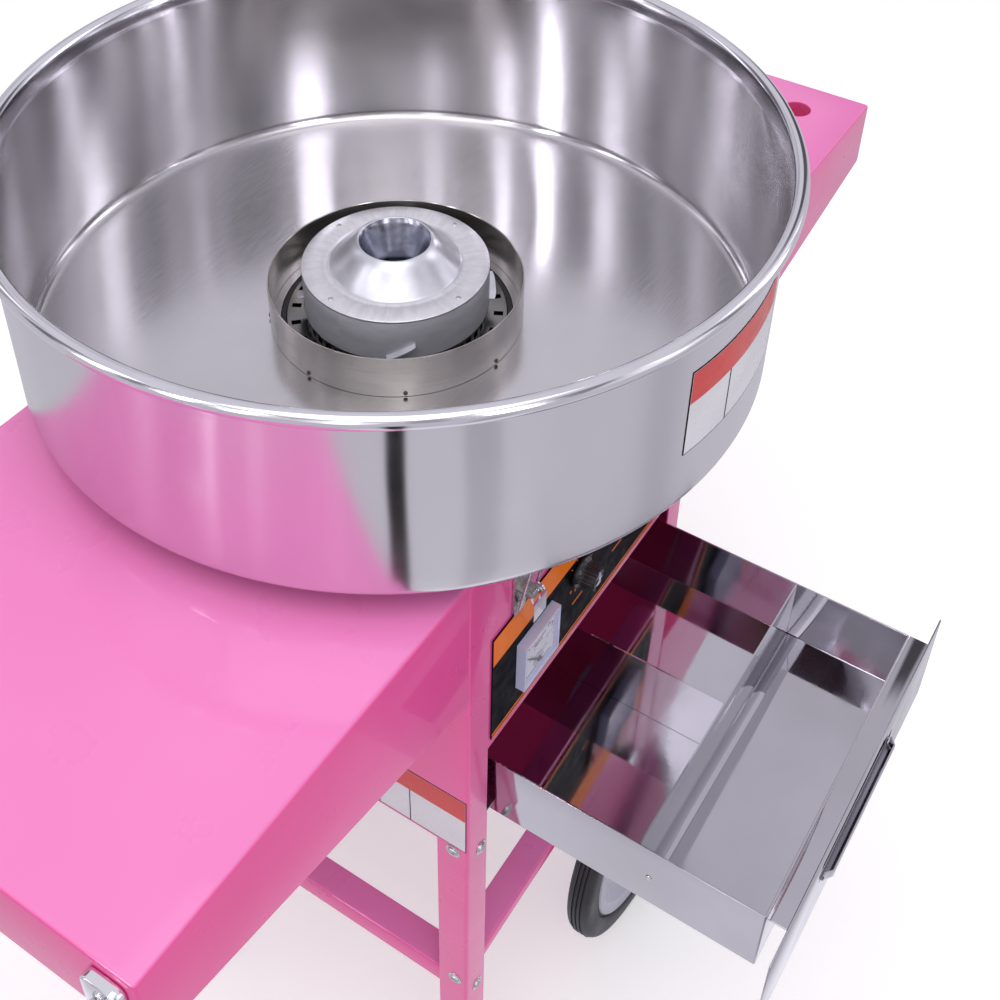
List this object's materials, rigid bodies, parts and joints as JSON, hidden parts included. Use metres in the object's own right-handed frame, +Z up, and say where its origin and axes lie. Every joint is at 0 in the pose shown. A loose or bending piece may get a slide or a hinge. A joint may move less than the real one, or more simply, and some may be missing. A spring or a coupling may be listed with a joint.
{
  "type": "cotton candy machine",
  "caption": "Cotton candy cart: stainless bowl with spinning head on a pink sheet-metal cabinet with side trays, drawer, wheels and push handle.",
  "frame": {"origin": "centre of the bounding box in plan, on the floor, with the drawer open as at rest", "axes": "+X to the cart's right as its control panel is faced, towards the wheels; -Y out of the control panel; +Z up"},
  "size_m": [0.963, 0.6484, 0.9148],
  "materials": {
    "pink_paint": "gloss powder coat",
    "bowl_steel": "mirror-polished stainless steel with a brushed floor",
    "shield_steel": "satin stainless steel",
    "head_aluminium": "satin cast and turned aluminium",
    "drawer_steel": "mirror stainless sheet",
    "chrome_tube": "bright chrome plate",
    "zinc_steel": "zinc-plated steel",
    "black_plastic": "fine-textured moulding",
    "white_plastic": "gloss moulding",
    "grey_plastic": "satin moulding",
    "red_plastic": "gloss moulding",
    "panel_print": "printed film, black with an orange band",
    "dial_print": "printed card, white with a black scale",
    "clear_plastic": "clear window",
    "tyre_rubber": "solid black rubber tyre",
    "foot_rubber": "black moulded rubber",
    "motor_paint": "dark satin enamel",
    "ceramic": "unglazed ceramic with heating ribbon",
    "brass": "turned brass"
  },
  "bodies": {
    "cart": {"cabinet_side_left": "pink_paint", "cabinet_side_right": "pink_paint", "cabinet_top": "pink_paint", "cabinet_back": "pink_paint", "cabinet_front": "pink_paint", "tray_left": "pink_paint", "tray_right": "pink_paint", "leg_front_left": "pink_paint", "leg_front_right": "pink_paint", "leg_back_left": "pink_paint", "leg_back_right": "pink_paint", "rail_left": "pink_paint", "rail_right": "pink_paint", "rail_front": "pink_paint", "rail_back": "pink_paint", "vent_plate": "shield_steel", "handle_bar": "chrome_tube", "handle_bracket_front": "chrome_tube", "handle_bracket_back": "chrome_tube", "axle": "zinc_steel", "drawer_slide_left": "zinc_steel", "drawer_slide_right": "zinc_steel", "latch_base_front": "zinc_steel", "latch_base_back": "zinc_steel", "heat_regulator": "black_plastic", "switch_housing": "black_plastic", "power_inlet": "black_plastic", "brush_holder": "black_plastic", "meter_case": "white_plastic", "meter_dial": "dial_print", "meter_window": "clear_plastic", "fascia": "panel_print", "foot_front": "foot_rubber", "foot_back": "foot_rubber", "bowl_seat": "foot_rubber", "motor": "motor_paint"},
    "bowl": {"bowl": "bowl_steel", "shield_ring": "shield_steel", "bowl_catch_front": "zinc_steel", "bowl_catch_back": "zinc_steel"},
    "spinner": {"head_cup": "head_aluminium", "head_cap": "head_aluminium", "heater_ring": "ceramic", "motor_shaft": "zinc_steel", "slip_ring": "brass"},
    "drawer": {"drawer_box": "drawer_steel", "drawer_front": "drawer_steel", "divider_cross": "drawer_steel", "divider_long": "drawer_steel"},
    "wheel_front": {"tyre_front": "tyre_rubber", "wheel_disc_front": "grey_plastic"},
    "wheel_back": {"tyre_back": "tyre_rubber", "wheel_disc_back": "grey_plastic"},
    "knob": {"heat_knob": "black_plastic"},
    "rocker_switch": {"rocker": "red_plastic"},
    "pointer": {"meter_needle": "black_plastic"},
    "lever_front": {"latch_lever_front": "zinc_steel"},
    "lever_back": {"latch_lever_back": "zinc_steel"},
    "bail_front": {"latch_bail_front": "zinc_steel"},
    "bail_back": {"latch_bail_back": "zinc_steel"}
  },
  "joints": [
    {"name": "drawer_pull", "type": "slide", "parent": "cart", "child": "drawer", "axis": [0, -1, 0], "range_m": [-0.211, 0.01]},
    {"name": "bowl_lift", "type": "slide", "parent": "cart", "child": "bowl", "axis": [0, 0, 1], "range_m": [0, 0.12]},
    {"name": "head_spin", "type": "hinge", "parent": "cart", "child": "spinner", "pos_m": [0.0065, 0.06425, 0.778], "axis": [0, 0, 1], "continuous": true},
    {"name": "wheel_front_roll", "type": "hinge", "parent": "cart", "child": "wheel_front", "pos_m": [0.1485, -0.11475, 0.145], "axis": [0, 1, 0], "continuous": true},
    {"name": "wheel_back_roll", "type": "hinge", "parent": "cart", "child": "wheel_back", "pos_m": [0.1485, 0.24325, 0.145], "axis": [0, 1, 0], "continuous": true},
    {"name": "heat_knob_turn", "type": "hinge", "parent": "cart", "child": "knob", "pos_m": [-0.0115, -0.09985, 0.62], "axis": [0, 1, 0], "range_deg": [0, 270]},
    {"name": "switch_rock", "type": "hinge", "parent": "cart", "child": "rocker_switch", "pos_m": [0.0665, -0.09885, 0.612], "axis": [-1, 0, 0], "range_deg": [0, 16]},
    {"name": "pointer_swing", "type": "hinge", "parent": "cart", "child": "pointer", "pos_m": [-0.073, -0.10485, 0.594], "axis": [0, 1, 0], "range_deg": [0, 90], "stiffness_Nm_per_rad": 0.0005},
    {"name": "lever_front_open", "type": "hinge", "parent": "cart", "child": "lever_front", "pos_m": [-0.0905, -0.10825, 0.681], "axis": [-1, 0, 0], "range_deg": [0, 95]},
    {"name": "bail_front_swing", "type": "hinge", "parent": "lever_front", "child": "bail_front", "pos_m": [-0.0905, -0.10325, 0.672], "axis": [1, 0, 0], "range_deg": [0, 125]},
    {"name": "lever_back_open", "type": "hinge", "parent": "cart", "child": "lever_back", "pos_m": [0.1035, 0.23735, 0.681], "axis": [1, 0, 0], "range_deg": [0, 95]},
    {"name": "bail_back_swing", "type": "hinge", "parent": "lever_back", "child": "bail_back", "pos_m": [0.1035, 0.23235, 0.672], "axis": [-1, 0, 0], "range_deg": [0, 125]}
  ],
  "couplings": [
    {"joint": "bail_front_swing", "follows": "lever_front_open", "ratio": 1.06},
    {"joint": "bail_back_swing", "follows": "lever_back_open", "ratio": 1.06}
  ]
}
